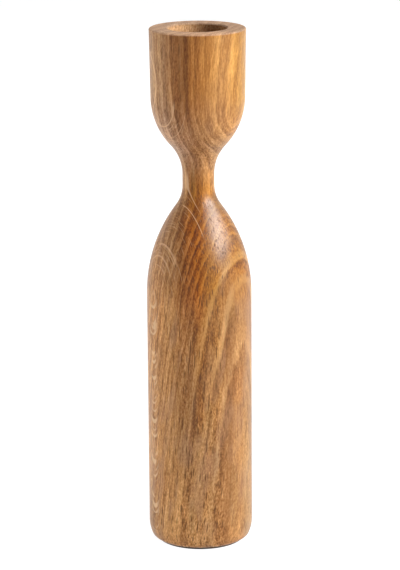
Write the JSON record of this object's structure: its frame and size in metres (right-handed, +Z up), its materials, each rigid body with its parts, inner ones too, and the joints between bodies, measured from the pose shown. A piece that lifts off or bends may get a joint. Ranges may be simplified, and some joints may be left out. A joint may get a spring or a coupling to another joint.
{
  "type": "candle stand",
  "caption": "Slim turned wooden candle stand with a straight round body, a thin neck and a cup with a bored candle socket, on a felt foot pad.",
  "frame": {"origin": "centre of the felt pad's underside, where the stand meets the table", "axes": "+Z up the turning axis, from the pad to the rim; the stand is round, so X and Y only fix how the grain is turned"},
  "size_m": [0.04, 0.04, 0.2],
  "materials": {
    "oiled_oak": "oiled, fine satin, with rings, rays and open pores",
    "felt": "pressed wool felt, matt",
    "adhesive": "clear double-sided film, slightly yellow"
  },
  "bodies": {
    "root": {"oak_body": "oiled_oak", "felt_pad": "felt", "adhesive_film": "adhesive"}
  },
  "joints": []
}
